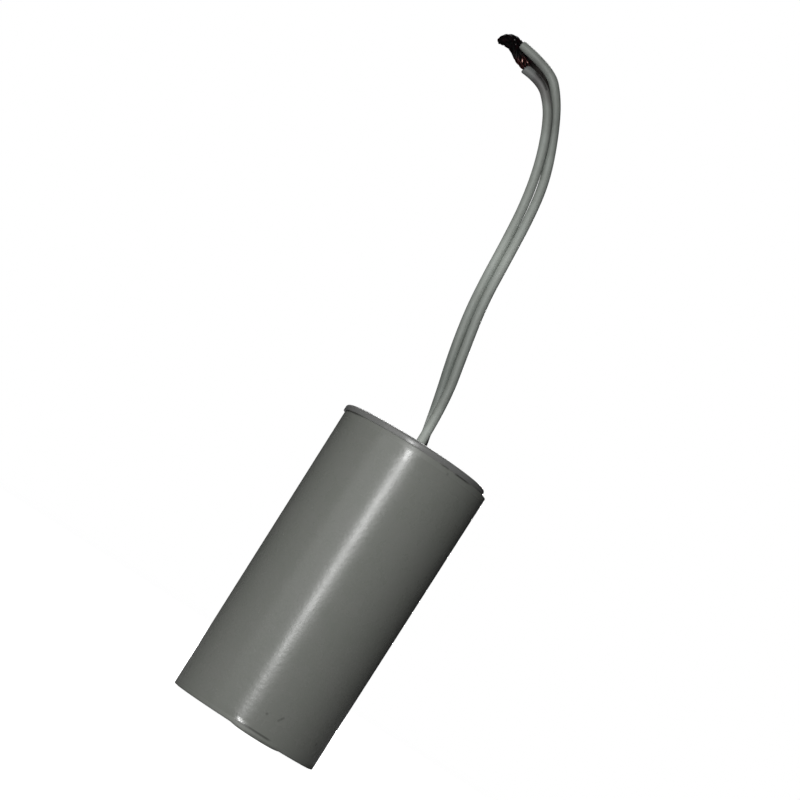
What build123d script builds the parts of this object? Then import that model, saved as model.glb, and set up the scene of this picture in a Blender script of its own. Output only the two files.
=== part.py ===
from build123d import *
from math import pi, radians, tan
import os

# Round plastic-cased film capacitor with two flying leads. Millimetres. It stands on the flat base of
# its can: the origin is the centre of the base, +Z runs up the can's axis to the lid, and -Y is the
# front. Both leads rise from the middle of the lid and bend over towards -X at their ends.

# Can: a moulded cup whose wall has draft
can_mid_diameter = 40.0
can_length = 78.0
can_draft_deg = 0.38
can_wall = 1.3
can_floor = 1.6
base_edge_radius = 0.5
floor_corner = 0.8

# Flash left by the mould on the front of the base edge
flash_width = 10.0
flash_reach = 0.3
flash_height = 0.8
flash_bearing_deg = -78.5

# Lid: a flat disc with a skirt that drops into the can, pushed to one side when it was fitted
lid_inset = 0.3
lid_plate = 1.7
lid_edge_radius = 0.7
lid_shift = -0.78
skirt_depth = 4.0
skirt_wall = 1.3
skirt_clearance = 0.12
lead_hole_clearance = 0.3

# Winding: the film roll fills the can but for a wall of resin, and leaves room above it for the leads
resin_wall = 1.05
resin_under_winding = 3.0
wiring_space = 12.2
wrap_thickness = 0.4
core_diameter = 7.0
core_bore = 3.2
spray_thickness = 0.6

# Leads and inner conductors
lead_diameter = 2.4
conductor_diameter = 1.1
sleeve_diameter = 2.6
sleeve_bore = 1.4
sleeve_overhang = 0.4
sleeve_inset = 0.9
exit_depth = 0.7
root_length = 7.5
tail_corner = 0.9
tail_overrun = 1.0
tail_clearance = 0.15
core_entry_height = 1.8
solder_diameter = 5.0
solder_crown_diameter = 2.6
solder_height = 2.0
solder_from_roll_edge = 7.0

# Bare ends beyond the insulation
strand_bundle_diameter = 1.5
strand_straight = 1.2

# Worked out from the sizes above
draft = tan(radians(can_draft_deg))
base_radius = can_mid_diameter / 2 - draft * can_length / 2
mouth_radius = can_mid_diameter / 2 + draft * can_length / 2
bore_base_radius = base_radius - can_wall
bore_mouth_radius = mouth_radius - can_wall
bore_floor_radius = bore_base_radius + draft * can_floor
lid_underside = can_length
lid_top = can_length + lid_plate
lid_radius = mouth_radius - lid_inset
fill_level = lid_underside - skirt_depth
skirt_radius = bore_mouth_radius - abs(lid_shift) - skirt_clearance
wrap_radius = bore_base_radius - resin_wall
roll_radius = wrap_radius - wrap_thickness
roll_bottom = can_floor + resin_under_winding
roll_top = lid_underside - wiring_space
film_bottom = roll_bottom + spray_thickness
film_length = roll_top - spray_thickness - film_bottom
solder_distance = roll_radius - solder_from_roll_edge
lead_radius = lead_diameter / 2
conductor_radius = conductor_diameter / 2


def above_lid(points):
    """Points whose heights are given from the top of the lid."""
    return [(x, y, lid_top + height) for x, y, height in points]


# Route of each free lead, from inside its hole in the lid to the end of its insulation
front_route = above_lid(
    [
        (-0.50, -2.60, -exit_depth),
        (-0.75, -2.30, 12.3),
        (-3.50, -1.30, 26.8),
        (-5.60, -0.80, 39.8),
        (-6.50, -0.60, 51.3),
        (-7.30, -0.20, 63.8),
        (-9.20, 0.40, 73.3),
        (-12.90, 1.00, 83.3),
        (-16.65, 1.15, 91.4),
        (-22.90, 1.10, 97.6),
        (-31.40, 0.90, 99.5),
    ]
)
back_route = above_lid(
    [
        (0.60, 2.60, -exit_depth),
        (-2.40, 2.30, 12.8),
        (-5.75, 1.30, 25.5),
        (-8.20, 0.80, 35.8),
        (-8.75, 0.60, 44.8),
        (-9.55, 0.45, 55.8),
        (-10.60, 0.10, 65.3),
        (-12.30, -0.75, 74.8),
        (-14.60, -1.15, 83.4),
        (-17.30, -1.25, 89.05),
        (-22.35, -1.20, 93.15),
        (-28.40, -1.00, 94.5),
    ]
)
front_strands_tip, back_strands_bend, back_strands_tip = above_lid(
    [(-33.90, 0.60, 99.1), (-31.40, -0.75, 95.9), (-34.00, -0.50, 97.9)]
)

# The burnt knot, as the centre and radius of each section along its hook
knot_centres = above_lid(
    [(-32.7, 0.30, 98.4), (-33.6, 0.15, 98.5), (-35.2, 0.0, 98.4), (-36.6, 0.0, 97.8), (-37.3, 0.0, 96.9)]
)
knot_radii = [1.2, 1.7, 1.8, 1.4, 0.7]
knot_sides = 8


def ring(outer_radius, inner_radius, bottom, height):
    """A plain tube or washer on the can's axis."""
    body = Cylinder(outer_radius, height) - Cylinder(inner_radius, height)
    return Pos(0, 0, bottom + height / 2) * body


def turned(points):
    """A solid turned about the can's axis from its half section, as (radius, z) points."""
    section = make_face(Polyline(*[(r, 0, z) for r, z in points], close=True))
    return revolve(section, Axis.Z, 360)


def direction_of(route):
    """The direction of a route's first run."""
    return (Vector(*route[1]) - Vector(*route[0])).normalized()


def corner_radii(points, share=0.45):
    """For each corner of a route, the largest arc that leaves room for its neighbours."""
    radii = []
    for before, here, after in zip(points, points[1:], points[2:]):
        run_in = Vector(*here) - Vector(*before)
        run_out = Vector(*after) - Vector(*here)
        half_turn = radians(run_in.get_angle(run_out)) / 2
        radii.append(share * min(run_in.length, run_out.length) / tan(half_turn))
    return radii


def swept(path, section):
    """A rod of the given section along a path, mitred where the path has corners."""
    end_plane = Plane(origin=path @ 0, z_dir=path % 0)
    return sweep(end_plane * section, path=path, transition=Transition.RIGHT)


def strand_bundle(points, diameter):
    """Seven strands lie in a hexagon, so a bare bundle is a six-sided rod along straight runs."""
    return swept(Polyline(*points), RegularPolygon(diameter / 2, 6))


def eased(points):
    """The same run of points with each inner corner cut by one short run."""
    places = [Vector(*p) for p in points]
    path_points = [places[0]]
    for before, here, after in zip(places, places[1:], places[2:]):
        path_points.append(here + (before - here).normalized() * tail_corner)
        path_points.append(here + (after - here).normalized() * tail_corner)
    return path_points + [places[-1]]


def make_can():
    cup = turned(
        [
            (0, 0),
            (base_radius, 0),
            (mouth_radius, can_length),
            (bore_mouth_radius, can_length),
            (bore_floor_radius + draft * floor_corner, can_floor + floor_corner),
            (bore_floor_radius - floor_corner, can_floor),
            (0, can_floor),
        ]
    )
    base_rim = cup.edges().filter_by(GeomType.CIRCLE).group_by(Axis.Z)[0]
    return fillet(base_rim, base_edge_radius) + make_flash()


def make_flash():
    """A thin crescent: the part of an upright disc that stands out of the wall."""
    half_width = flash_width / 2
    wall_there = (base_radius**2 - half_width**2) ** 0.5
    tip = base_radius + flash_reach
    disc_centre = (tip**2 - wall_there**2 - half_width**2) / (2 * (tip - wall_there))
    disc = Pos(disc_centre, 0, flash_height / 2) * Cylinder(tip - disc_centre, flash_height)
    return Rot(0, 0, flash_bearing_deg) * disc


def lead_hole(route):
    """An upright hole where a lead's first run crosses the middle of the lid plate."""
    start, direction = Vector(*route[0]), direction_of(route)
    middle = lid_underside + lid_plate / 2
    centre = start + direction * ((middle - start.Z) / direction.Z)
    return Pos(*centre) * Cylinder(lead_radius + lead_hole_clearance, 2 * lid_plate)


def make_lid():
    plate = Pos(0, 0, lid_underside + lid_plate / 2) * Cylinder(lid_radius, lid_plate)
    plate = fillet(plate.edges().group_by(Axis.Z)[-1], lid_edge_radius)
    skirt = ring(skirt_radius, skirt_radius - skirt_wall, fill_level, skirt_depth)
    lid = Pos(lid_shift, 0, 0) * (plate + skirt)
    return lid - lead_hole(front_route) - lead_hole(back_route)


def root_end(route):
    """The lower end of a lead's insulation, straight back from its exit."""
    return Vector(*route[0]) - direction_of(route) * root_length


def make_root(route):
    plane = Plane(origin=root_end(route), z_dir=direction_of(route))
    return extrude(plane * Circle(lead_radius), root_length)


def make_tail_front():
    """Straight on out of the root, then out along the upper spray."""
    start, direction = root_end(front_route), direction_of(front_route)
    wire_height = roll_top + tail_clearance + conductor_radius
    corner = start + direction * ((wire_height - start.Z) / direction.Z)
    end = (corner.X, -solder_distance - tail_overrun, wire_height)
    return strand_bundle(eased([start, corner, end]), conductor_diameter)


def make_tail_back():
    """Out of the root, across to the can's axis, down the core and out along the lower spray."""
    start = root_end(back_route)
    straight = start - direction_of(back_route) * 2 * tail_corner
    wire_height = roll_bottom - tail_clearance - conductor_radius
    points = [
        start,
        straight,
        (0, 0, roll_top + core_entry_height),
        (0, 0, wire_height),
        (0, solder_distance + tail_overrun, wire_height),
    ]
    return strand_bundle(eased(points), conductor_diameter)


def solder_bead(face, side, centre_y):
    """A low bead of solder on a spray face, rising to the given side."""
    bead = Cone(solder_diameter / 2, solder_crown_diameter / 2, solder_height)
    return Pos(0, centre_y, face + side * solder_height / 2) * Rot(90 - side * 90, 0, 0) * bead


def make_sleeve():
    bottom = roll_bottom + sleeve_inset
    return ring(sleeve_diameter / 2, sleeve_bore / 2, bottom, roll_top + sleeve_overhang - bottom)


def make_resin(inner_pieces):
    """The cast fill: everything below the lid's skirt that the other pieces leave free."""
    fill = turned(
        [
            (0, can_floor),
            (bore_floor_radius - floor_corner, can_floor),
            (bore_floor_radius + draft * floor_corner, can_floor + floor_corner),
            (bore_base_radius + draft * fill_level, fill_level),
            (0, fill_level),
        ]
    )
    roll_height = roll_top - roll_bottom
    fill -= Pos(0, 0, roll_bottom + roll_height / 2) * Cylinder(wrap_radius, roll_height)
    for piece in inner_pieces:
        fill -= piece
    return fill


def make_lead(name, route):
    """A free lead as one round rod. Prints its bends and checks its volume against its length."""
    radii = corner_radii(route)
    path = FilletPolyline(*route, radius=radii)
    lead = swept(path, Circle(lead_radius))
    section = pi * lead_radius**2
    print(name, "length", round(path.length, 1), "bend radii", [round(r, 1) for r in radii])
    print(name, "volume over section times length", round(lead.volume / (section * path.length), 5))
    return lead


def make_strands(route, *points):
    """A bare bundle that leaves the insulation straight and then runs by straight runs to its tip."""
    start = Vector(*route[-1])
    corner = start + (start - Vector(*route[-2])).normalized() * strand_straight
    return strand_bundle([start, corner, *points], strand_bundle_diameter)


def make_knot(bundles):
    """Sections joined along the hook, with the two bundles' ends sunk in it."""
    centres = [Vector(*c) for c in knot_centres]
    sections = []
    for i, (centre, radius) in enumerate(zip(centres, knot_radii)):
        along = centres[min(i + 1, len(centres) - 1)] - centres[max(i - 1, 0)]
        sections.append(Plane(origin=centre, z_dir=along) * RegularPolygon(radius, knot_sides))
    knot = loft(sections, ruled=True)
    for bundle in bundles:
        knot -= bundle
    return knot


lead_front = make_lead("lead_front", front_route)
lead_back = make_lead("lead_back", back_route)
front_root, back_root = make_root(front_route), make_root(back_route)
tail_front, tail_back = make_tail_front(), make_tail_back()
core_sleeve = make_sleeve()
solder_top = solder_bead(roll_top, 1, -solder_distance) - tail_front
solder_bottom = solder_bead(roll_bottom, -1, solder_distance) - tail_back
front_strands = make_strands(front_route, front_strands_tip)
back_strands = make_strands(back_route, back_strands_bend, back_strands_tip)
core_radius = core_diameter / 2

parts = {
    "can": make_can(),
    "lid": make_lid(),
    "film_winding": ring(roll_radius, core_radius, film_bottom, film_length),
    "winding_core": ring(core_radius, core_bore / 2, roll_bottom, roll_top - roll_bottom),
    "winding_wrap": ring(wrap_radius, roll_radius, roll_bottom, roll_top - roll_bottom),
    "end_spray_bottom": ring(roll_radius, core_radius, roll_bottom, spray_thickness),
    "end_spray_top": ring(roll_radius, core_radius, roll_top - spray_thickness, spray_thickness),
    "lead_front_root": front_root,
    "lead_back_root": back_root,
    "tail_front": tail_front,
    "tail_back": tail_back,
    "core_sleeve": core_sleeve,
    "solder_joint_top": solder_top,
    "solder_joint_bottom": solder_bottom,
    "potting_resin": make_resin(
        [front_root, back_root, tail_front, tail_back, core_sleeve, solder_top, solder_bottom]
    ),
    "lead_front": lead_front,
    "lead_back": lead_back,
    "lead_front_strands": front_strands,
    "lead_back_strands": back_strands,
    "charred_twist": make_knot([front_strands, back_strands]),
}

os.makedirs("parts", exist_ok=True)
for node, solid in parts.items():
    solid.label = node
    export_step(solid, os.path.join("parts", node + ".step"))
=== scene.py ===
from math import cos, hypot, pi, radians, sin, tan

import bmesh
import bpy
from mathutils import Matrix, Quaternion, Vector


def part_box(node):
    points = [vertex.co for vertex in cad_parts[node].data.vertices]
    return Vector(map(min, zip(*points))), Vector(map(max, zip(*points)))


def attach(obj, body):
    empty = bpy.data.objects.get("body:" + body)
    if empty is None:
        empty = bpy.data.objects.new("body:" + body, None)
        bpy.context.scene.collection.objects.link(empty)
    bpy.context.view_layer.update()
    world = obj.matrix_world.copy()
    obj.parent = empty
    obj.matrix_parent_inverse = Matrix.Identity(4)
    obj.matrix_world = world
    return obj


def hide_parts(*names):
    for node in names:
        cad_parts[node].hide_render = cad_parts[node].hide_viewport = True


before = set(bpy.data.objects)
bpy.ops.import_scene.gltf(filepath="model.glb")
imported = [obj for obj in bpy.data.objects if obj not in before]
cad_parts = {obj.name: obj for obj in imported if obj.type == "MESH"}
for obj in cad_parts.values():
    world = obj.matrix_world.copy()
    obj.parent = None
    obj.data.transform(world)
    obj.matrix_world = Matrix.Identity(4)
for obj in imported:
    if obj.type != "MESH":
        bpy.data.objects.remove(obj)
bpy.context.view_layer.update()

MM = 0.001

# %% [markdown]
# This lesson dresses a round plastic film capacitor: a drafted grey can, a lid pushed slightly to one
# side, and two stiff vinyl leads whose bare ends were twisted together and burnt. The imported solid
# model is loaded as a fixed frame. It stands on its base with the origin in the middle of the base,
# +Z up the can and -Y towards us. Sizes below are in millimetres and are turned into metres by MM.

# %% Sizes of the can and the lid
CAN_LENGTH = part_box("can")[1].z / MM
LID_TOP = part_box("lid")[1].z / MM
MOUTH_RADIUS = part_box("can")[1].x / MM
CAN_DRAFT = tan(radians(0.38))
BASE_RADIUS = MOUTH_RADIUS - CAN_DRAFT * CAN_LENGTH
CAN_WALL = 1.3
CAN_FLOOR = 1.6
LID_RADIUS = (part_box("lid")[1].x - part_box("lid")[0].x) / 2 / MM
LID_SHIFT = (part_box("lid")[1].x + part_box("lid")[0].x) / 2 / MM
LID_SKIRT_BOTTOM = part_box("lid")[0].z / MM
print("can", round(CAN_LENGTH, 2), "long, mouth radius", round(MOUTH_RADIUS, 3))
print("lid radius", round(LID_RADIUS, 3), "moved by", round(LID_SHIFT, 3))

# %% [markdown]
# The photograph is matched by a long lens that looks almost level at the standing can and is rolled,
# so that the can's axis runs up to the right. The camera is placed by its height, distance and three
# angles, all worked out from the outline of the can.

# %% Camera
CAMERA_PLACE = Vector((0.0, -650.2, 22.4)) * MM
CAMERA_PITCH, CAMERA_YAW, CAMERA_ROLL = 0.09982, -0.01599, 0.56736
CAMERA_LENS = 119.73

camera = bpy.data.objects.new("camera", bpy.data.cameras.new("camera"))
bpy.context.collection.objects.link(camera)
camera.data.lens = CAMERA_LENS
camera.data.clip_start, camera.data.clip_end = 0.05, 20.0
forward = Vector(
    (sin(CAMERA_YAW) * cos(CAMERA_PITCH), cos(CAMERA_YAW) * cos(CAMERA_PITCH), sin(CAMERA_PITCH))
)
level_right = Vector((cos(CAMERA_YAW), -sin(CAMERA_YAW), 0.0))
level_up = level_right.cross(forward)
right = level_right * cos(CAMERA_ROLL) + level_up * sin(CAMERA_ROLL)
up = level_up * cos(CAMERA_ROLL) - level_right * sin(CAMERA_ROLL)
turn = Matrix((right, up, -forward)).transposed()
camera.matrix_world = Matrix.Translation(CAMERA_PLACE) @ turn.to_4x4()
bpy.context.scene.camera = camera
print("camera looks up by", round(CAMERA_PITCH * 180 / pi, 1), "degrees")

# %% [markdown]
# Each lead is one length of vinyl-covered stranded wire, stiff enough to stand by itself. Its line is
# a NURBS curve on given control points, so it bends smoothly like real wire. The points are those of
# the solid model's route, moved by up to a millimetre and a half to follow the photographed edges,
# and the ends reach one or two millimetres further. Heights count from the top of the lid.

# %% Routes of the leads
FRONT_ROUTE = [
    (-0.50, -2.60, -0.70),
    (-0.55, -2.30, 12.00),
    (-3.50, -1.30, 26.40),
    (-5.90, -0.80, 38.90),
    (-6.70, -0.60, 51.05),
    (-7.65, -0.20, 64.05),
    (-9.35, 0.40, 73.90),
    (-13.35, 1.00, 84.25),
    (-17.70, 1.15, 92.55),
    (-23.08, 1.10, 98.30),
    (-33.40, 0.90, 99.60),
]
BACK_ROUTE = [
    (0.60, 2.60, -0.70),
    (-2.10, 2.30, 11.90),
    (-5.50, 1.30, 24.40),
    (-7.70, 0.80, 35.50),
    (-8.65, 0.60, 44.50),
    (-9.40, 0.45, 55.75),
    (-10.40, 0.10, 65.70),
    (-12.35, -0.75, 75.00),
    (-15.40, -1.15, 83.55),
    (-18.70, -1.25, 89.67),
    (-23.43, -1.20, 94.03),
    (-29.35, -1.00, 94.42),
]
LEAD_RADIUS = 1.22
print("leads of", 2 * LEAD_RADIUS, "mm on", len(FRONT_ROUTE), "and", len(BACK_ROUTE), "control points")

# %% Curves on a route
def above_lid(points):
    """Points in metres from places in millimetres whose heights start at the top of the lid."""
    return [Vector((x, y, LID_TOP + height)) * MM for x, y, height in points]


def nurbs(name, points, radius=0.0, sides=8, swell=1.0):
    """A smooth curve on control points; it is a tube if it has a radius, and can swell at its end."""
    data = bpy.data.curves.new(name, "CURVE")
    data.dimensions = "3D"
    data.resolution_u = 12
    spline = data.splines.new("NURBS")
    spline.points.add(len(points) - 1)
    for point, place in zip(spline.points, points):
        point.co = (*place, 1.0)
    spline.points[-1].radius, spline.points[-2].radius = swell, (1 + swell) / 2
    spline.order_u = 3
    spline.use_endpoint_u = True
    data.bevel_depth = radius
    data.bevel_resolution = sides // 2 - 2
    data.use_fill_caps = True
    curve = bpy.data.objects.new(name, data)
    bpy.context.collection.objects.link(curve)
    return curve


def line_of(points):
    """Points along the smooth curve on the given control points, read from it with no thickness."""
    curve = nurbs("line", points)
    mesh = bpy.data.meshes.new_from_object(curve)
    line = [v.co.copy() for v in mesh.vertices]
    data = curve.data
    bpy.data.objects.remove(curve)
    bpy.data.curves.remove(data)
    bpy.data.meshes.remove(mesh)
    return line


def length_of(line):
    """The length of a line of points, in metres."""
    return sum((b - a).length for a, b in zip(line, line[1:]))


# %% [markdown]
# Everything rigid here is modelled as one would by hand: add a primitive at its size and place, go
# into edit mode, pick faces, edges or points by where they are, and use the usual tools on them. A few
# helpers keep that readable. Everything is deselected first, because the loaded solids are selected.

# %% Helpers: one object at a time
def only(*pieces):
    """Selects these objects alone; the first one is the active one."""
    if bpy.context.object and bpy.context.object.mode != "OBJECT":
        bpy.ops.object.mode_set(mode="OBJECT")
    bpy.ops.object.select_all(action="DESELECT")
    for piece in pieces:
        piece.select_set(True)
    bpy.context.view_layer.objects.active = pieces[0]


def add_cylinder(name, radius, bottom, top, sides, x=0.0, y=0.0):
    """An upright closed cylinder, in millimetres, left in edit mode with its place applied."""
    bpy.ops.object.select_all(action="DESELECT")
    bpy.ops.mesh.primitive_cylinder_add(
        vertices=sides,
        radius=radius * MM,
        depth=(top - bottom) * MM,
        location=(x * MM, y * MM, (top + bottom) / 2 * MM),
        end_fill_type="NGON",
    )
    piece = bpy.context.active_object
    piece.name = piece.data.name = name
    bpy.ops.object.transform_apply(location=True, rotation=True, scale=True)
    bpy.ops.object.mode_set(mode="EDIT")
    return piece


def finish_piece(piece, smooth_angle=35):
    """Back to object mode, with smooth shading wherever faces meet at less than an angle."""
    only(piece)
    bpy.ops.object.shade_smooth_by_angle(angle=radians(smooth_angle))
    print(piece.name, "has", len(piece.data.polygons), "faces")
    return piece


# %% Helpers: choosing faces, edges and points
SAME_HEIGHT = 0.02


def pick(piece, kind, test):
    """In edit mode, selects only the faces, edges or points that pass a test."""
    bpy.ops.mesh.select_mode(type=kind)
    bpy.ops.mesh.select_all(action="DESELECT")
    mesh = bmesh.from_edit_mesh(piece.data)
    rows = {"FACE": mesh.faces, "EDGE": mesh.edges, "VERT": mesh.verts}[kind]
    for element in [row for row in rows if test(row)]:
        element.select_set(True)
    mesh.select_flush_mode()
    bmesh.update_edit_mesh(piece.data)


def middle(element):
    """The place of a point, or the mean place of an edge's or face's points, in millimetres."""
    points = [element] if hasattr(element, "co") else list(element.verts)
    return sum((v.co for v in points), Vector()) / len(points) / MM


def ring_edges(piece, height, radius, reach, centre_x=0.0):
    """Selects the level circle of edges at a height and a radius, give or take a reach."""

    def test(edge):
        place = middle(edge)
        level = all(abs(v.co.z / MM - height) < SAME_HEIGHT for v in edge.verts)
        return level and abs(hypot(place.x - centre_x, place.y) - radius) < reach

    pick(piece, "EDGE", test)


def end_face(piece, height, up, centre_x=0.0):
    """Selects the flat face on the axis at a height that looks up (or down)."""

    def test(face):
        place = middle(face)
        on_axis = hypot(place.x - centre_x, place.y) < 0.5
        return on_axis and abs(place.z - height) < SAME_HEIGHT and face.normal.z * up > 0.9

    pick(piece, "FACE", test)


# %% Helpers: shaping what is chosen
def cut_level(heights):
    """Cuts all faces at the given heights, which adds a ring of edges at each."""
    for height in heights:
        bpy.ops.mesh.select_all(action="SELECT")
        bpy.ops.mesh.bisect(plane_co=(0, 0, height * MM), plane_no=(0, 0, 1))


def push_in(depth):
    """Extrudes the picked face straight by a depth; + is up."""
    bpy.ops.mesh.extrude_region_move(TRANSFORM_OT_translate={"value": (0, 0, depth * MM)})


def widen(share, height):
    """Scales what is picked about the can's axis, at a height."""
    bpy.ops.transform.resize(value=(share, share, 1), center_override=(0, 0, height * MM))


# %% [markdown]
# The can is one moulding: a cup with a little draft, so it is slightly narrower at its base. It starts
# as a cylinder. The top is scaled out for the draft, then the same top face is inset by the wall's
# thickness and pushed down to the floor, which makes the inside. Small bevels follow on every rim,
# because no moulded edge is perfectly sharp, and they are what catches the light.

# %% Can: cup
CAN_SIDES = 192
BASE_EDGE = 0.22
MOUTH_EDGE = 0.07
FLOOR_CORNER = 0.8
BASE_RING = 1.2

can = add_cylinder("can_shell", BASE_RADIUS, 0, CAN_LENGTH, CAN_SIDES)
end_face(can, CAN_LENGTH, 1)
widen(MOUTH_RADIUS / BASE_RADIUS, CAN_LENGTH)
bpy.ops.mesh.inset(thickness=CAN_WALL * MM)
bore_mouth = MOUTH_RADIUS - CAN_WALL
bore_floor = bore_mouth - CAN_DRAFT * (CAN_LENGTH - CAN_FLOOR)
push_in(CAN_FLOOR - CAN_LENGTH)
widen(bore_floor / bore_mouth, CAN_FLOOR)
for height, radius, reach, edge, segments in (
    (CAN_FLOOR, bore_floor, 0.3, FLOOR_CORNER, 3),
    (0.0, BASE_RADIUS, 0.1, BASE_EDGE, 5),
    (CAN_LENGTH, MOUTH_RADIUS, 0.1, MOUTH_EDGE, 3),
    (CAN_LENGTH, bore_mouth, 0.1, MOUTH_EDGE, 2),
):
    ring_edges(can, height, radius, reach)
    bpy.ops.mesh.bevel(offset=edge * MM, segments=segments)
end_face(can, 0.0, -1)
bpy.ops.mesh.inset(thickness=BASE_RING * MM)
print("bore from", round(bore_floor, 2), "at the floor to", round(bore_mouth, 2), "at the mouth")

# %% [markdown]
# At the front of the base the mould left a thin crescent of flash. It stands out of the wall by a
# third of a millimetre, hangs a little below the base, and ends above in a small ledge, along which a
# thin dark line of painted shadow is drawn in the can's finish. Two rings are cut close together where
# the ledge is, everything above the lower one is hidden, and the rim's nearest points are pulled out
# with a round falloff, like clay under a thumb.

# %% Can: flash on the base and the rings along the wall
FLASH_BEARING = radians(-78.5)
FLASH_LEDGE = 0.78
FLASH_LIP = 0.07
FLASH_OUT, FLASH_DOWN = 0.34, -0.40
FLASH_GRIP, FLASH_SPREAD = 0.75, 6.0
INSIDE_THE_WALL = 18.9
WALL_RINGS = [1.2, 2.2, 4.5, 8, 14, 22, 30, 38, 46, 54, 62, 69, 73.5, 76, 77.4]


def off_the_foot(point):
    """Whether a point is above the flash's ledge or away from the outer wall."""
    place = middle(point)
    return place.z > FLASH_LEDGE + FLASH_LIP / 2 or hypot(place.x, place.y) < INSIDE_THE_WALL


cut_level([FLASH_LEDGE, FLASH_LEDGE + FLASH_LIP, *WALL_RINGS])
pick(can, "VERT", off_the_foot)
bpy.ops.mesh.hide(unselected=False)
flash_side = Vector((cos(FLASH_BEARING), sin(FLASH_BEARING), 0.0))
rim_place = flash_side * BASE_RADIUS
pick(can, "VERT", lambda v: not v.hide and (middle(v) - rim_place).to_2d().length < FLASH_GRIP)
bpy.ops.transform.translate(
    value=flash_side * FLASH_OUT * MM + Vector((0, 0, FLASH_DOWN * MM)),
    use_proportional_edit=True,
    proportional_edit_falloff="SPHERE",
    proportional_size=FLASH_SPREAD * MM,
)
bpy.ops.mesh.reveal(select=False)
bpy.ops.mesh.select_all(action="DESELECT")
finish_piece(can)

# %% [markdown]
# The lid is a flat disc with a well-rounded top edge and a short skirt below it that drops into the
# can. On this one it was pushed to the left when it was fitted, so it overhangs the can there and
# leaves a narrow step on the right. The two holes for the leads are cut with cylinders as cutters.

# %% Lid
LID_EDGE = 0.7
LID_RIM = 0.6
SKIRT_WALL, SKIRT_GAP = 1.3, 0.12
SKIRT_RADIUS = bore_mouth - abs(LID_SHIFT) - SKIRT_GAP
HOLE_GAP, HOLE_SIDES = 0.3, 40

lid = add_cylinder("lid_cap", LID_RADIUS, CAN_LENGTH, LID_TOP, CAN_SIDES, x=LID_SHIFT)
end_face(lid, CAN_LENGTH, -1, LID_SHIFT)
bpy.ops.mesh.inset(thickness=(LID_RADIUS - SKIRT_RADIUS) * MM)
push_in(LID_SKIRT_BOTTOM - CAN_LENGTH)
bpy.ops.mesh.inset(thickness=SKIRT_WALL * MM)
push_in(CAN_LENGTH - LID_SKIRT_BOTTOM)
ring_edges(lid, LID_TOP, LID_RADIUS, 0.1, LID_SHIFT)
bpy.ops.mesh.bevel(offset=LID_EDGE * MM, segments=7)
ring_edges(lid, CAN_LENGTH, LID_RADIUS, 0.1, LID_SHIFT)
bpy.ops.mesh.bevel(offset=MOUTH_EDGE * MM, segments=3)
end_face(lid, LID_TOP, 1, LID_SHIFT)
bpy.ops.mesh.inset(thickness=LID_RIM * MM)
only(lid)


def hole_place(route):
    """Where a lead's first run crosses the middle of the lid's plate, in millimetres."""
    start, after = above_lid(route)[:2]
    run = (after - start).normalized()
    plate_middle = (CAN_LENGTH + LID_TOP) / 2 * MM
    return (start + run * ((plate_middle - start.z) / run.z)) / MM


for number, route in enumerate((FRONT_ROUTE, BACK_ROUTE)):
    place = hole_place(route)
    radius = LEAD_RADIUS + HOLE_GAP
    ends = CAN_LENGTH - 2, LID_TOP + 2
    cutter = add_cylinder("cutter", radius, *ends, HOLE_SIDES, place.x, place.y)
    only(lid)
    hole = lid.modifiers.new("hole", "BOOLEAN")
    hole.object, hole.operation, hole.solver = cutter, "DIFFERENCE", "EXACT"
    bpy.ops.object.modifier_apply(modifier=hole.name)
    cutter_mesh = cutter.data
    bpy.data.objects.remove(cutter)
    bpy.data.meshes.remove(cutter_mesh)
    print("hole", number + 1, "at", round(place.x, 2), round(place.y, 2))
finish_piece(lid)

for piece, node, slot in ((can, "can", "can_plastic"), (lid, "lid", "lid_plastic")):
    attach(piece, "root")
    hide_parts(node)

# %% [markdown]
# A lead's jacket is a tube along its curve, a little swollen at its end, where the heat softened it.
# The curve is given a round section and turned into a mesh. Then the end is cut off by a plane, the
# tube's nearest rings are dissolved to make room for a wide bevel on the rim, because soft vinyl
# rounds over where it is cut, and the end face is inset and pushed in for the bore of the strands.

# %% Jackets of the leads
JACKET_SIDES = 28
JACKET_BORE = 0.85
BORE_DEPTH = 2.0
LIP, LIP_PER_SWELL = 0.44, 1.4
LIP_ROOM = 1.4


def is_end(face):
    """Whether a face closes the tube, and so has far more than the four points of a wall's face."""
    return len(face.verts) > 8


def at_cut_end(edge, tip):
    """Whether an edge lies on the rim of the end face at the tip."""
    near = all((v.co / MM - tip).length < LEAD_RADIUS * 2 for v in edge.verts)
    return near and any(is_end(face) for face in edge.link_faces)


def near_ring(edge, tip, back):
    """Whether an edge runs round the tube within a bevel's reach of the cut end."""
    run = (edge.verts[1].co - edge.verts[0].co).normalized()
    near = all(abs((v.co / MM - tip).dot(back)) < LIP_ROOM for v in edge.verts)
    return near and abs(run.dot(back)) < 0.5


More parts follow.
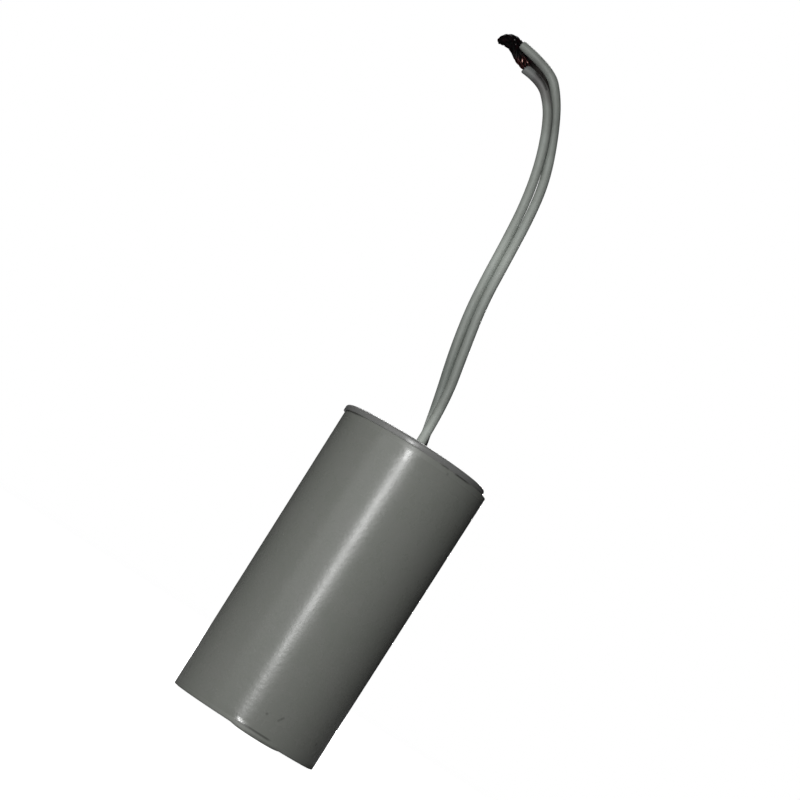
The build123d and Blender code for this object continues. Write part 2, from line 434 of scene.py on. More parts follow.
def make_jacket(name, points, tip, cut, swell):
    """A jacket along the points, swollen towards its end and cut off by a plane that faces cut."""
    jacket = nurbs(name, points, LEAD_RADIUS * MM, JACKET_SIDES, swell)
    only(jacket)
    bpy.ops.object.convert(target="MESH")
    jacket = bpy.context.active_object
    bpy.ops.object.mode_set(mode="EDIT")
    bpy.ops.mesh.select_all(action="SELECT")
    bpy.ops.mesh.remove_doubles(threshold=1e-7)
    bpy.ops.mesh.bisect(plane_co=tip * MM, plane_no=cut, use_fill=True, clear_outer=True)
    back = (points[-2] - points[-1]).normalized()
    pick(jacket, "EDGE", lambda e: near_ring(e, tip, back) and not at_cut_end(e, tip))
    bpy.ops.mesh.dissolve_edges()
    pick(jacket, "EDGE", lambda e: at_cut_end(e, tip))
    lip = LIP + LIP_PER_SWELL * (swell - 1)
    bpy.ops.mesh.bevel(offset=lip * MM, segments=5)
    pick(jacket, "FACE", lambda f: is_end(f) and (middle(f) - tip).length < 0.6)
    bpy.ops.mesh.inset(thickness=max(0.04, LEAD_RADIUS * swell - lip - JACKET_BORE) * MM)
    move = {"value": back * BORE_DEPTH * MM}
    bpy.ops.mesh.extrude_region_move(TRANSFORM_OT_translate=move)
    bpy.ops.mesh.select_all(action="SELECT")
    bpy.ops.mesh.normals_make_consistent(inside=False)
    return finish_piece(jacket, 50)


# %% Both jackets
lead_points = {"lead_front": above_lid(FRONT_ROUTE), "lead_back": above_lid(BACK_ROUTE)}
# Each cut's place, the way that it faces, and how much wider the tube is there
cuts = {
    "lead_front": (Vector((-32.60, 0.90, 179.22)), (-1.0, -0.02, 0.24), 1.04),
    "lead_back": (Vector((-28.44, -1.00, 174.30)), (-1.0, -0.02, 0.38), 1.08),
}
jackets = {
    name: make_jacket(name + "_jacket", points, *cuts[name]) for name, points in lead_points.items()
}

# %% [markdown]
# Past the insulation each lead shows its copper: sixteen fine strands, loosely twisted. Every strand
# runs at its own distance round the bundle's smooth middle line and turns slowly about it. To place
# them, two directions square to the line are carried along it without letting them spin.

# %% Directions and widths along a line
def steady_sides(line):
    """For each point of a line, two directions square to it that turn as little as possible."""
    sides = []
    side = Vector((0, 1, 0))
    for i, place in enumerate(line):
        along = (line[min(i + 1, len(line) - 1)] - line[max(i - 1, 0)]).normalized()
        side = (side - along * side.dot(along)).normalized()
        sides.append((side, along.cross(side)))
    return sides


def blend_list(values, share):
    """The value at a share from 0 to 1 along a list, read between its entries."""
    at = share * (len(values) - 1)
    low = min(int(at), len(values) - 2)
    return values[low] + (values[low + 1] - values[low]) * (at - low)


def wobble(seed, share, waves=2.3):
    """A small smooth sway between -1 and 1 that differs from strand to strand."""
    return 0.6 * sin(share * waves * 2 * pi + seed * 2.4) + 0.4 * sin(share * waves * 5.1 + seed * 4.7)


# %% Strands
STRAND_RADIUS = 0.17
# Two rings of strands: the share of the bundle's width, how many, and the angle of the first
STRAND_RINGS = [(0.62, 6, 0.3), (1.0, 10, 0.1)]
SIXTEEN = [
    (out, start + 2 * pi * i / count) for out, count, start in STRAND_RINGS for i in range(count)
]


def empty_tubes(name, radius, roundness):
    """Curve data with no curve in it yet; its curves become tubes of a radius in millimetres."""
    data = bpy.data.curves.new(name, "CURVE")
    data.dimensions = "3D"
    data.bevel_depth = radius * MM
    data.bevel_resolution = roundness
    data.use_fill_caps = True
    return data


def as_mesh(data):
    """A mesh object made from curve data, under the same name."""
    tubes = bpy.data.objects.new(data.name, data)
    bpy.context.collection.objects.link(tubes)
    only(tubes)
    bpy.ops.object.convert(target="MESH")
    return bpy.context.active_object


def twisted(name, route, widths, turns):
    """A bundle of sixteen strands turned about the curve on the route, of changing width."""
    line = line_of(above_lid(route))
    sides = steady_sides(line)
    data = empty_tubes(name, STRAND_RADIUS, 1)
    for number, (share_out, angle) in enumerate(SIXTEEN):
        spline = data.splines.new("POLY")
        spline.points.add(len(line) - 1)
        for i, place in enumerate(line):
            share = i / (len(line) - 1)
            out = (blend_list(widths, share) - STRAND_RADIUS) * share_out * MM
            out *= 1 + 0.10 * wobble(number, share)
            turned = angle + turns * 2 * pi * share + 0.25 * wobble(number + 7, share)
            first, second = sides[i]
            offset = first * cos(turned) * out + second * sin(turned) * out
            spline.points[i].co = (*(place + offset), 1.0)
    return finish_piece(as_mesh(data), 60)


# %% Copper of both leads
FRONT_COPPER = [
    (-30.48, 0.90, 99.08),
    (-31.36, 0.90, 99.27),
    (-32.27, 0.85, 99.30),
    (-33.29, 0.65, 99.28),
]
BACK_COPPER = [
    (-26.41, -1.05, 94.38),
    (-27.37, -1.00, 94.56),
    (-28.40, -0.95, 94.90),
    (-29.87, -0.85, 95.47),
    (-31.20, -0.70, 95.93),
    (-32.33, -0.50, 96.54),
    (-33.16, -0.20, 97.20),
]
FRONT_WIDTHS = [0.76, 0.78, 0.80, 1.1]
BACK_WIDTHS = [0.74, 0.80, 1.17, 1.27, 1.26, 1.17, 1.0]
copper = {
    "lead_front": twisted("lead_front_copper", FRONT_COPPER, FRONT_WIDTHS, 0.3),
    "lead_back": twisted("lead_back_copper", BACK_COPPER, BACK_WIDTHS, 0.55),
}

# %% [markdown]
# The ends of both leads were twisted together, folded over into a hook and burnt. What is left is a
# lump of fused strands that still shows the lay of the twist, with a neck that runs down inside the
# back lead's strands and a tongue of blackened strands behind the gap between the two jackets, which
# also darkens that gap in place of its shade. Each of the three is a few thick ropes round one smooth
# line. They are melted into one skin with the Remesh modifier and roughened by two sizes of clouds in
# Displace modifiers.

# %% Burnt twist: its three lines
HEAD = [
    (-30.48, 0.90, 99.08),
    (-31.36, 0.90, 99.27),
    (-32.25, 0.85, 99.26),
    (-33.22, 0.70, 99.10),
    (-33.86, 0.50, 99.14),
    (-34.85, 0.30, 98.99),
    (-35.80, 0.10, 98.50),
    (-36.65, 0.00, 97.87),
    (-37.37, 0.00, 97.31),
    (-37.75, 0.00, 96.79),
]
NECK = [
    (-27.42, -0.95, 94.66),
    (-28.58, -0.90, 95.15),
    (-29.92, -0.80, 95.52),
    (-31.27, -0.60, 95.97),
    (-32.35, -0.40, 96.59),
    (-33.20, -0.10, 97.38),
    (-34.28, 0.10, 97.86),
    (-35.91, 0.00, 97.62),
]
TONGUE = [
    (-32.94, 1.00, 97.76),
    (-31.36, 1.70, 97.52),
    (-29.49, 2.00, 97.12),
    (-27.79, 2.00, 96.82),
    (-26.25, 1.90, 96.55),
    (-24.75, 1.80, 96.13),
    (-23.30, 1.70, 95.45),
    (-21.94, 1.60, 94.58),
    (-20.71, 1.50, 93.69),
    (-19.67, 1.40, 92.77),
]
# Each part's line, its half width along it, the number of its ropes and their turns
ROPES = [
    (HEAD, [0.75, 0.8, 0.75, 1.1, 1.42, 1.6, 1.64, 1.52, 1.2, 0.67], 4, 2.0),
    (NECK, [0.65, 0.97, 1.09, 1.14, 1.19, 1.32, 1.35, 1.15], 4, 0.9),
    (TONGUE, [1.05, 1.15, 1.15, 1.15, 1.12, 1.07, 0.92, 0.72, 0.57, 0.35], 3, 1.5),
]
print("burnt twist of", sum(count for *_, count, turns in ROPES), "ropes in", len(ROPES), "parts")

# %% Burnt twist: ropes melted into one skin
ROPE_SHARE, ROPE_CHANGE, CORE_SHARE = 0.57, 0.03, 0.7
MELT_VOXEL = 0.11


def add_ropes(data, route, widths, count, turns):
    """Adds ropes round a line, each as thick as fits beside the next, and one along its middle."""
    line = line_of(above_lid(route))
    sides = steady_sides(line)
    for number in range(count + 1):
        spline = data.splines.new("POLY")
        spline.points.add(len(line) - 1)
        for i, place in enumerate(line):
            share = i / (len(line) - 1)
            width = blend_list(widths, share)
            thick = width * (ROPE_SHARE + ROPE_CHANGE * wobble(number, share, 3.1))
            out = 0.0 if number == count else (width - thick) * MM
            angle = 2 * pi * (number / count + turns * share)
            first, second = sides[i]
            offset = first * cos(angle) * out + second * sin(angle) * out
            spline.points[i].co = (*(place + offset), 1.0)
            spline.points[i].radius = thick if number < count else width * CORE_SHARE


rope_data = empty_tubes("burnt_twist", 1.0, 3)
for rope in ROPES:
    add_ropes(rope_data, *rope)
knot = as_mesh(rope_data)
melt = knot.modifiers.new("melt", "REMESH")
melt.mode, melt.voxel_size, melt.use_smooth_shade = "VOXEL", MELT_VOXEL * MM, True
bpy.ops.object.modifier_apply(modifier=melt.name)
for name, size, strength in (("lumps", 0.9, 0.14), ("crust", 0.28, 0.035)):
    clouds = bpy.data.textures.new(name, "CLOUDS")
    clouds.noise_scale = size * MM
    crust = knot.modifiers.new(name, "DISPLACE")
    crust.texture, crust.strength, crust.mid_level = clouds, strength * MM, 0.5
    bpy.ops.object.modifier_apply(modifier=crust.name)
finish_piece(knot, 60)

# %% [markdown]
# Now every piece is tied to the imported model: it rides on the part's one body and hides the plain
# solid that it stands for. The length of each lead's curve is printed.

# %% Pieces tied to the model's body
for name, points in lead_points.items():
    line = line_of(points)
    jacket, strands = jackets[name], copper[name]
    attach(jacket, "root")
    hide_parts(name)
    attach(strands, "root")
    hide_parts(name + "_strands")
    print(name, "is", round(length_of(line) / MM, 1), "mm long")
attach(knot, "root")
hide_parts("charred_twist")

# %% [markdown]
# Finishes are made from nodes only. So that the formulas stay readable, a small class wraps a socket
# and lets it be added, multiplied and compared in plain Python; each operation adds one Math node.
# Every other node comes from one method that takes the node's type, its settings and its inputs.

# %% Helpers: a node's output in plain Python
class Value:
    """The number or colour that comes out of a node, ready for arithmetic."""

    def __init__(self, finish, socket):
        self.finish, self.socket = finish, socket

    def math(self, operation, *others, swap=False):
        """A Math node on this and the others, in that order or, with swap, the other way round."""
        terms = [self, *others]
        if swap:
            terms.reverse()
        inputs = dict(enumerate(terms))
        return self.finish.node("ShaderNodeMath", {"operation": operation}, inputs)

    def __add__(self, other):
        return self.math("ADD", other)

    def __sub__(self, other):
        return self.math("SUBTRACT", other)

    def __rsub__(self, other):
        return self.math("SUBTRACT", other, swap=True)

    def __mul__(self, other):
        return self.math("MULTIPLY", other)

    def __truediv__(self, other):
        return self.math("DIVIDE", other)

    def __pow__(self, other):
        return self.math("POWER", other)

    __radd__, __rmul__ = __add__, __mul__

    def clamp(self):
        """Kept between 0 and 1."""
        return self.math("MAXIMUM", 0.0).math("MINIMUM", 1.0)

    def step(self, low, high):
        """0 below low, 1 above high, and a soft change between them; low may be above high."""
        share = ((self - low) / (high - low)).clamp()
        return share * share * (3.0 - 2.0 * share)


# %% Helpers: adding nodes
class Nodes:
    """The node tree of a material or a world that is being made."""

    def __init__(self, owner):
        owner.use_nodes = True
        self.tree = owner.node_tree
        self.tree.nodes.clear()

    def node(self, kind, settings=None, inputs=None, out=0):
        """Adds a node, sets its settings, links or sets its inputs and gives one of its outputs."""
        made = self.tree.nodes.new(kind)
        for name, value in (settings or {}).items():
            if name == "stops":
                self.fill_ramp(made.color_ramp, value)
            else:
                setattr(made, name, value)
        for key, value in (inputs or {}).items():
            if isinstance(value, Value):
                self.tree.links.new(value.socket, made.inputs[key])
            else:
                made.inputs[key].default_value = value
        return Value(self, made.outputs[out]) if made.outputs else None

    def fill_ramp(self, ramp, stops):
        """Sets the stops (a place from 0 to 1 and a colour) of a ramp, which starts with two."""
        while len(ramp.elements) < len(stops):
            ramp.elements.new(0.5)
        for element, (at, colour) in zip(ramp.elements, stops):
            element.position, element.color = at, (*colour, 1.0)


# %% Helpers: a finish and its patterns
class Finish(Nodes):
    """A material on the object's own coordinates in millimetres, with one Principled shader."""

    def __init__(self, name, **constants):
        self.material = bpy.data.materials.new(name)
        super().__init__(self.material)
        self.place = self.vector("SCALE", self.node("ShaderNodeTexCoord", out="Object"), 1 / MM)
        split = {0: self.place}
        self.x, self.y, self.z = (self.node("ShaderNodeSeparateXYZ", {}, split, axis) for axis in "XYZ")
        inputs = {socket.replace("_", " "): value for socket, value in constants.items()}
        surface = self.node("ShaderNodeBsdfPrincipled", {}, inputs)
        self.shader = surface.socket.node
        self.node("ShaderNodeOutputMaterial", {}, {"Surface": surface})

    def vector(self, operation, first, second=(0.0, 0.0, 0.0), out=0):
        """Arithmetic on places and directions; a length or a dot product has Value as its out."""
        inputs = {0: first, "Scale" if operation == "SCALE" else 1: second}
        return self.node("ShaderNodeVectorMath", {"operation": operation}, inputs, out)

    def noise(self, size, detail=2.0, roughness=0.5, stretch=None):
        """Soft noise round 0.5 whose features are about as large as size, in millimetres."""
        place = self.vector("MULTIPLY", self.place, stretch) if stretch else self.place
        inputs = {"Vector": place, "Scale": 1 / size, "Detail": detail, "Roughness": roughness}
        return self.node("ShaderNodeTexNoise", {}, inputs)

    def near(self, place, reach):
        """1 at a place and 0 past a reach from it, in millimetres."""
        away = self.vector("SUBTRACT", self.place, place)
        return self.vector("LENGTH", away, out="Value").step(reach, 0.3 * reach)

    def streak(self, start, end, reach):
        """1 on the straight line from start to end and 0 past a reach from it, in millimetres."""
        run = Vector(end) - Vector(start)
        away = self.vector("SUBTRACT", self.place, start)
        share = self.vector("DOT_PRODUCT", away, run / run.length_squared, out="Value").clamp()
        beside = self.vector("SUBTRACT", away, self.vector("SCALE", run, share))
        return self.vector("LENGTH", beside, out="Value").step(reach, 0.3 * reach)

    def mix(self, share, first, second, blend="MIX"):
        """The first colour where share is 0 and the second where it is 1."""
        colours = {6: (*first, 1.0) if isinstance(first, tuple) else first}
        colours[7] = (*second, 1.0) if isinstance(second, tuple) else second
        settings = {"data_type": "RGBA", "blend_type": blend}
        return self.node("ShaderNodeMix", settings, {0: share, **colours}, 2)

    def bump(self, height, depth, below=None):
        """Tilts the surface as if it rose by height times depth, in millimetres."""
        inputs = {"Height": height, "Distance": depth * MM}
        if below:
            inputs["Normal"] = below
        return self.node("ShaderNodeBump", {}, inputs)

    def set(self, **links):
        """Links values to the shader's inputs and gives the finished material."""
        for socket, value in links.items():
            self.tree.links.new(value.socket, self.shader.inputs[socket.replace("_", " ")])
        return self.material


def paint(material, *pieces):
    """Gives pieces a material in place of what they have."""
    for piece in pieces:
        piece.data.materials.clear()
        piece.data.materials.append(material)
    print(material.name, "on", ", ".join(piece.name for piece in pieces))


# %% [markdown]
# The can's plastic is a greenish mid grey with a satin skin, and the lid's is a little darker and more
# neutral. The colour drifts over several millimetres, and a shallow orange peel and fine scratches
# along the can break the highlight up. The skin is smoother near both ends, where the mould was
# polished, so the highlight is sharpest there, and dull right beside the seam. The seam is dark in two
# short dashes and faintly elsewhere, the foot is darker in patches, and a few small spots are dirt.
# Painted shade darkens the seam's left end under the lid's overhang and a thin line along the flash's
# ledge.

# %% Finish: the moulded plastic of the can and the lid
CAN_GREY, CAN_GREY_WORN = (0.170, 0.180, 0.161), (0.185, 0.189, 0.176)
LID_GREY, LID_GREY_WORN = (0.165, 0.167, 0.163), (0.180, 0.181, 0.176)
# The dark colour of dirt, used also for the painted shade at the seam and along the flash's ledge.
GRIME_AND_SHADE = (0.030, 0.031, 0.028)


def moulded_plastic(name, grey, worn, shine):
    """Satin plastic: where shine(finish) is 1 the skin is polished, and where it is -1 it is dull."""
    finish = Finish(name, IOR=1.46, Specular_IOR_Level=0.36)
    drift = finish.noise(9.0, 3.0, 0.55)
    cloud = finish.noise(2.6, 3.0, 0.6)
    fleck = finish.noise(0.9, 3.0, 0.6)
    colour = finish.mix((drift * 1.4 + cloud * 0.8 + fleck * 0.9 - 1.05).clamp(), grey, worn)
    scratches = finish.noise(1.0, 4.0, 0.6, stretch=(3.0, 3.0, 0.12)).step(0.66, 0.74)
    roughness = 0.28 + (cloud - 0.5) * 0.08 + (drift - 0.5) * 0.06 + scratches * 0.06
    roughness = roughness - shine(finish) * 0.10
    skin = finish.bump(finish.noise(1.1, 2.0, 0.5), 0.021)
    skin = finish.bump(finish.noise(0.35, 2.0, 0.5), 0.0055, skin)
    skin = finish.bump(scratches, -0.002, skin)
    return finish, colour, roughness, skin


def can_shine(finish):
    """Polished in a band below the seam and above the base, dull right at the seam and on the flash."""
    near_lid = finish.z.step(73.2, 74.6) * finish.z.step(76.9, 76.2) * 0.55
    near_base = finish.z.step(3.2, 1.8) * 0.75 + finish.z.step(48.0, 30.0) * 0.12
    dull = finish.z.step(76.4, 77.2) * 1.0 + finish.z.step(1.25, 0.9) * 3.0
    return near_lid + near_base - dull


def lid_shine(finish):
    """Dull on the lid's rounded edge and flat top, and polished on its upright wall."""
    return finish.z.step(78.9, 78.5) * 1.1 - 0.8


def dark_seam_and_overhang_shade(finish, patchy):
    """Painted shade under the overhang at the left end, two dark dashes at the right, faint elsewhere.
    """
    dashes = finish.x.step(6.3, 6.9) * finish.x.step(9.0, 8.3) * 0.4
    dashes = dashes + finish.x.step(10.2, 10.9) * finish.x.step(15.2, 13.6) * 0.75
    # the left end is painted shade under the lid's overhang
    return finish.x.step(-14.5, -17.5) * 0.5 + dashes * finish.y.step(-12.0, -13.0) + patchy * 0.12


# %% Finish: can and lid with their dirt and painted shade
finish, colour, roughness, skin = moulded_plastic("can_plastic", CAN_GREY, CAN_GREY_WORN, can_shine)
patchy = finish.noise(1.6, 3.0, 0.6)
seam = finish.z.step(77.55, 77.95) * dark_seam_and_overhang_shade(finish, patchy)
# painted shadow: a thin dark line along the top of the flash's ledge
ledge = finish.z.step(0.76, 1.0) * finish.z.step(1.5, 1.2) * finish.y.step(-15.0, -17.0)
ledge = ledge * finish.x.step(-3.0, -1.6) * finish.x.step(7.8, 6.2) * 0.6
spots = finish.near((3.20, -19.52, 6.11), 0.5) + finish.near((17.1, -9.94, 5.97), 0.7)
spots = spots + finish.streak((6.3, -18.7, 6.1), (7.1, -18.5, 7.3), 0.4)
spots = spots + finish.near((8.96, -18.16, 76.79), 0.45)
foot = finish.z.step(0.45, 0.05) * patchy * 0.7
colour = finish.mix((seam + ledge + spots * 0.36 + foot).clamp(), colour, GRIME_AND_SHADE)
paint(finish.set(Base_Color=colour, Roughness=roughness, Normal=skin), can)

finish, colour, roughness, skin = moulded_plastic("lid_plastic", LID_GREY, LID_GREY_WORN, lid_shine)
seam = finish.z.step(78.35, 78.02) * dark_seam_and_overhang_shade(finish, finish.noise(1.6, 3.0, 0.6))
colour = finish.mix(seam.clamp(), colour, GRIME_AND_SHADE)
paint(finish.set(Base_Color=colour, Roughness=roughness, Normal=skin), lid)

# %% [markdown]
# The jackets are soft vinyl, a paler greenish grey than the can. Their lightness changes along them,
# partly from uneven handling and partly as painted highlight and shade: the table below gives it at
# heights above the base. Soot from the burnt ends has settled on their last few millimetres and
# between them, where painted shade is added too, as it is where the back lead leaves the lid.

# %% Finish: lead jackets
JACKET_GREY = (0.250, 0.271, 0.250)
# Black for soot and also for the painted shade at the lead's exit and in the gap between the leads.
SOOT_AND_SHADE_BLACK = (0.020, 0.019, 0.018)
# Lightness along the leads by height, partly wear and partly painted light: the lighter stretches near
# the lid and round 131 mm are painted highlight.
WEAR_AND_PAINTED_LIGHT = [
    (81, 1.50),
    (85, 1.40),
    (92, 0.97),
    (98, 0.88),
    (106, 0.97),
    (116, 1.03),
    (124, 1.25),
    (131, 1.47),
    (138, 1.25),
    (147, 1.10),
    (158, 1.04),
    (167, 0.80),
    (175, 0.86),
]

finish = Finish("lead_jacket", IOR=1.5, Specular_IOR_Level=0.35)
drift = finish.noise(5.0, 3.0, 0.6)
cloud = finish.noise(1.3, 3.0, 0.6)
lightness_low, lightness_high = WEAR_AND_PAINTED_LIGHT[0][0], WEAR_AND_PAINTED_LIGHT[-1][0]
stops = [
    ((z - lightness_low) / (lightness_high - lightness_low), [tone * light for tone in JACKET_GREY])
    for z, light in WEAR_AND_PAINTED_LIGHT
]
share = (finish.z + (drift - 0.5) * 6.0 - lightness_low) / (lightness_high - lightness_low)
colour = finish.node("ShaderNodeValToRGB", {"stops": stops}, {0: share})
colour = finish.mix((drift * 1.5 + cloud * 0.8 - 0.9).clamp(), colour, (0.82, 0.80, 0.78), "MULTIPLY")
shaded = finish.y.step(-0.4, 0.6) * finish.z.step(87.0, 91.0) * finish.z.step(121.0, 100.0)
colour = finish.mix(shaded, colour, (0.76, 0.77, 0.77), "MULTIPLY")
inner = finish.y.step(-0.4, -1.0) * finish.z.step(168.0, 171.0) * finish.x.step(-26.5, -24.5)
colour = finish.mix(inner, colour, (0.66, 0.61, 0.63), "MULTIPLY")
scorch = finish.near((-27.0, -1.6, 173.0), 7.0)
colour = finish.mix(scorch * 0.9, colour, (0.62, 0.60, 0.64), "MULTIPLY")
smear = finish.streak((-25.4, -2.0, 174.4), (-22.7, -2.3, 173.4), 0.55)
smear = (smear + finish.streak((-22.7, -2.3, 173.4), (-21.2, -2.3, 172.2), 0.55)).clamp()
smear = smear * (0.40 + cloud * 0.6 + (finish.noise(0.45, 2.0, 0.5) - 0.5) * 1.2)
# painted shade at the foot of the back lead, where it leaves the lid
exit_shade = finish.near((1.7, 2.4, 81.6), 1.5) * 1.4
# soot and painted shade in the gap between the two leads
between = finish.streak((-28.0, -0.4, 175.0), (-22.0, -0.4, 174.4), 0.9) * 0.8
# soot on the jackets, together with the painted shade above
soot_and_shade = exit_shade + smear + between
colour = finish.mix(soot_and_shade.clamp(), colour, SOOT_AND_SHADE_BLACK)
skin = finish.bump(finish.noise(0.9, 2.0, 0.5), 0.02)
skin = finish.bump(finish.noise(0.15, 2.0, 0.5), 0.003, skin)
roughness = 0.55 + (cloud - 0.5) * 0.12
vinyl = finish.set(Base_Color=colour, Roughness=roughness, Normal=skin)
paint(vinyl, *jackets.values(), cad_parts["lead_front_root"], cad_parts["lead_back_root"])

# %% [markdown]
# The bare strands were heated until the copper went dark red-brown, and they are black where they
# run into the burnt lump; a few pink spots on them are painted glints. The lump is charcoal and oxide:
# almost black and dull, with a few painted glints as grey specks. Where it lies in the gap between the
# jackets it is ash grey, which also stands in for the shade there.

# %% Finish: copper and char
OXIDE, OXIDE_BRIGHT = (0.020, 0.004, 0.004), (0.046, 0.009, 0.008)
CHAR, CHAR_RED = (0.0018, 0.0020, 0.0019), (0.0080, 0.0022, 0.0034)
# Colours of painted glints on the copper and the lump, and ash grey for the strands in the gap, which
# also stands in for its shade.
PAINTED_GLINT, PAINTED_SPECK_GLINT, ASH_AND_SHADE = (0.62, 0.36, 0.31), (0.30, 0.27, 0.26), (0.020, 0.018, 0.017)


def painted_glint_spots(finish, spots):
    """Painted glints: bright spots at places with a reach each, in millimetres."""
    total = 0.0
    for *place, reach in spots:
        total = finish.near(place, reach) + total
    return total.clamp()


finish = Finish("bare_copper", Specular_IOR_Level=0.2)
patchy = finish.noise(0.6, 3.0, 0.65)
along = finish.vector("DOT_PRODUCT", finish.place, (-0.75, 0, 0.66), out="Value")
black = (along + patchy * 1.6).step(139.4, 140.8)
# painted glints: pink spots where the strands catch the lamp
glints = [(-30.15, -2.1, 175.1, 0.6), (-28.75, -1.7, 175.6, 0.25), (-30.1, -1.5, 176.4, 0.2)]
bright = painted_glint_spots(finish, glints)
colour = finish.mix(patchy.step(0.4, 0.7), OXIDE, OXIDE_BRIGHT)
colour = finish.mix(black, colour, CHAR)
colour = finish.mix(bright, colour, PAINTED_GLINT)
roughness = 0.42 + black * 0.15 + (patchy - 0.5) * 0.2
skin = finish.bump(finish.noise(0.12, 3.0, 0.6), 0.02)
metal = (1.0 - black) * 0.45
copper_finish = finish.set(Base_Color=colour, Metallic=metal, Roughness=roughness, Normal=skin)
paint(copper_finish, *copper.values())

finish = Finish("charred_copper", Specular_IOR_Level=0.02)
patchy = finish.noise(0.8, 3.0, 0.65)
specks = [(-34.5, -1.1, 178.8, 0.22), (-33.65, -1.0, 178.0, 0.26), (-32.2, -1.6, 175.9, 0.22)]
colour = finish.mix(patchy.step(0.45, 0.65), CHAR, CHAR_RED)
# the tongue in the gap between the jackets: ash grey that also stands in for the shade there
colour = finish.mix(finish.x.step(-28.5, -25.5), colour, ASH_AND_SHADE)
# painted glints: small grey specks on the lump
colour = finish.mix(painted_glint_spots(finish, specks) * 0.5, colour, PAINTED_SPECK_GLINT)
skin = finish.bump(finish.noise(0.12, 3.0, 0.6), 0.008)
paint(finish.set(Base_Color=colour, Roughness=0.55 + (patchy - 0.5) * 0.2, Normal=skin), knot)

# %% [markdown]
# The pieces inside the can stay as the solid model has them, and get their own finishes so that they
# are right when the can is opened: the film's wound edges, the tape round it, sprayed zinc, solder,
# tinned wire, the plastic core and sleeve, and the cast resin.

# %% Finishes inside the can
def inner_finish(name, first, second, size, roughness, depth, metallic=0.0, rings=None):
    """Two colours mixed by noise of a size, or also by the edges of wound film, rings apart."""
    finish = Finish(name, Metallic=metallic)
    share = finish.noise(size, 4.0, 0.6)
    if rings:
        radius = (finish.x * finish.x + finish.y * finish.y) ** 0.5
        wave = (radius * (2 * pi / rings)).math("SINE") * 0.5 + 0.5
        share = share * 0.6 + wave * 0.4
    colour = finish.mix(share.step(0.3, 0.7), first, second)
    shine = roughness + (share - 0.5) * 0.15
    return finish.set(Base_Color=colour, Roughness=shine, Normal=finish.bump(share, depth))


# For some nodes: their finish's name, its two colours, the size of its grain, its roughness and the
# grain's depth, and where given, how metallic it is and how far apart the edges of wound film are
INNER = {
    ("film_winding",): (
        "metallised_film", (0.55, 0.57, 0.60), (0.72, 0.73, 0.75), 3.0, 0.28, 0.01, 0.9, 0.5
    ),
    ("winding_wrap",): ("wrap_film", (0.62, 0.58, 0.44), (0.70, 0.66, 0.52), 4.0, 0.30, 0.02),
    ("winding_core",): ("core_plastic", (0.60, 0.60, 0.57), (0.68, 0.68, 0.65), 3.0, 0.45, 0.02),
    ("core_sleeve",): ("sleeve_plastic", (0.55, 0.50, 0.38), (0.62, 0.57, 0.45), 2.0, 0.40, 0.01),
    ("end_spray_bottom", "end_spray_top"): (
        "sprayed_zinc", (0.24, 0.25, 0.26), (0.42, 0.43, 0.44), 0.35, 0.62, 0.10, 0.8
    ),
    ("solder_joint_top", "solder_joint_bottom"): (
        "solder", (0.50, 0.50, 0.49), (0.66, 0.66, 0.65), 0.8, 0.25, 0.05, 0.9
    ),
    ("tail_front", "tail_back"): (
        "tinned_copper", (0.48, 0.47, 0.45), (0.64, 0.62, 0.58), 0.5, 0.30, 0.02, 0.9
    ),
    ("potting_resin",): ("resin", (0.16, 0.13, 0.08), (0.22, 0.18, 0.11), 5.0, 0.25, 0.02),
}
for names, made in INNER.items():
    paint(inner_finish(*made), *(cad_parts[name] for name in names))

# %% [markdown]
# The light is that of the photograph: one narrow lamp just left of the camera, turned a little so that
# its streak slopes as it should, draws the thin highlight down the can, a weak broad glow surrounds
# it, and a wide soft lamp further left fills that side. A broad lamp high behind lights the lid and
# the back, and a slim low one behind gives the back some form. The lens sees a plain white background,
# while the object sees a dim surround, because the photographed can reflects nothing bright but its
# lamp. The floor is white by itself and still darkens a little in the object's shadow.

# %% Floor
FLOOR_MATT, FLOOR_DIM = (0.8, 0.8, 0.8, 1.0), (0.12, 0.12, 0.12, 1.0)
FLOOR_GLOW = 0.97

bpy.ops.object.select_all(action="DESELECT")
bpy.ops.mesh.primitive_plane_add(size=6.0, location=(0, 0, FLASH_DOWN * MM))
floor = bpy.context.active_object
floor.name = "floor"

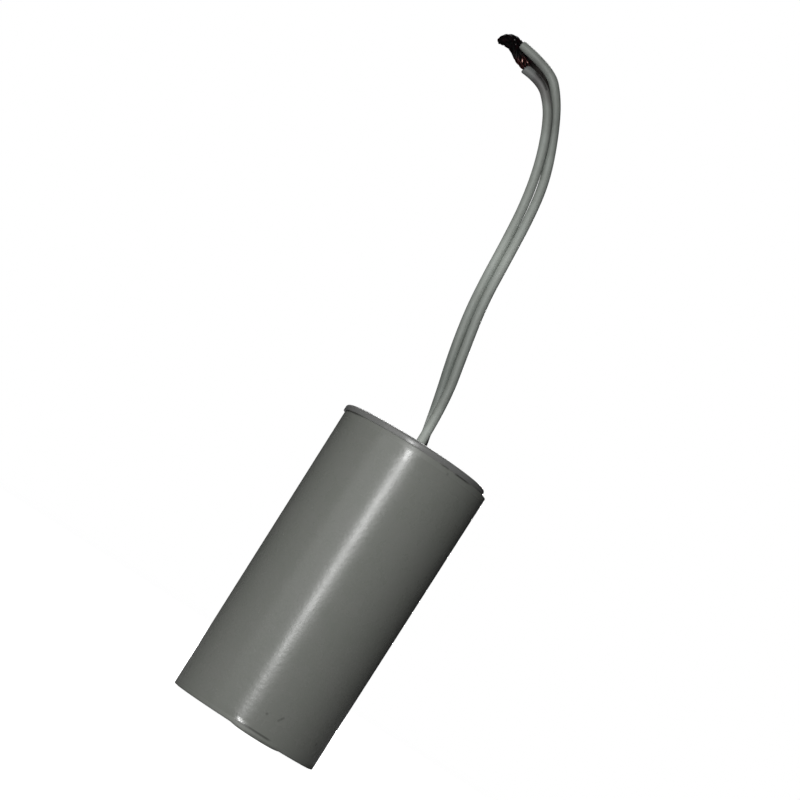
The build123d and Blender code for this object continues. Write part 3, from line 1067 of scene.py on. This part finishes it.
white_floor = bpy.data.materials.new("white_floor")
nodes = Nodes(white_floor)
for_camera = nodes.node("ShaderNodeLightPath", out="Is Camera Ray")
glow = nodes.node("ShaderNodeEmission", {}, {"Strength": FLOOR_GLOW})
matt = nodes.node("ShaderNodeBsdfDiffuse", {}, {"Color": FLOOR_MATT})
dim = nodes.node("ShaderNodeBsdfDiffuse", {}, {"Color": FLOOR_DIM})
both = nodes.node("ShaderNodeAddShader", {}, {0: glow, 1: matt})
seen = nodes.node("ShaderNodeMixShader", {}, {0: for_camera, 1: dim, 2: both})
nodes.node("ShaderNodeOutputMaterial", {}, {"Surface": seen})
floor.data.materials.append(white_floor)
print("floor", -FLASH_DOWN, "mm below the base, where the flash ends")

# %% Background
WHITE, SURROUND = (1.0, 1.0, 1.0, 1.0), 0.03

world = bpy.data.worlds.new("world")
bpy.context.scene.world = world
nodes = Nodes(world)
for_camera = nodes.node("ShaderNodeLightPath", out="Is Camera Ray")
strength = for_camera * (1.0 - SURROUND) + SURROUND
background = nodes.node("ShaderNodeBackground", {}, {"Color": WHITE, "Strength": strength})
nodes.node("ShaderNodeOutputWorld", {}, {"Surface": background})
print("background white to the lens, and", SURROUND, "of white to the object")

# %% Lamps
def lamp(name, place, aim, width, height, watts, lean=0.0):
    """A rectangular lamp in millimetres, aimed at a place, turned about its aim by some degrees."""
    light = bpy.data.lights.new(name, "AREA")
    light.shape = "RECTANGLE"
    light.size, light.size_y = width * MM, height * MM
    light.energy = watts
    stand = bpy.data.objects.new(name, light)
    bpy.context.collection.objects.link(stand)
    stand.location = Vector(place) * MM
    facing = (Vector(aim) - Vector(place)).to_track_quat("-Z", "Y")
    stand.rotation_euler = (facing @ Quaternion((0, 0, 1), radians(lean))).to_euler()
    stand.visible_camera = False
    print("lamp", name, "gives", watts, "W over", width, "by", height, "mm")


lamp("key", (-103, -650, 124), (0, 0, 45), 12, 240, 2.20, -9)
lamp("key_glow", (-84, -660, 124), (0, 0, 45), 240, 300, 0.78)
lamp("left_soft", (-330, -420, 150), (0, 0, 60), 350, 300, 0.60)
lamp("behind", (-150, 850, 1050), (0, 0, 60), 600, 600, 16.0)
lamp("back_key", (60, 680, 150), (0, 0, 45), 26, 240, 3.0, 6)

bpy.context.scene.view_settings.view_transform = "Standard"
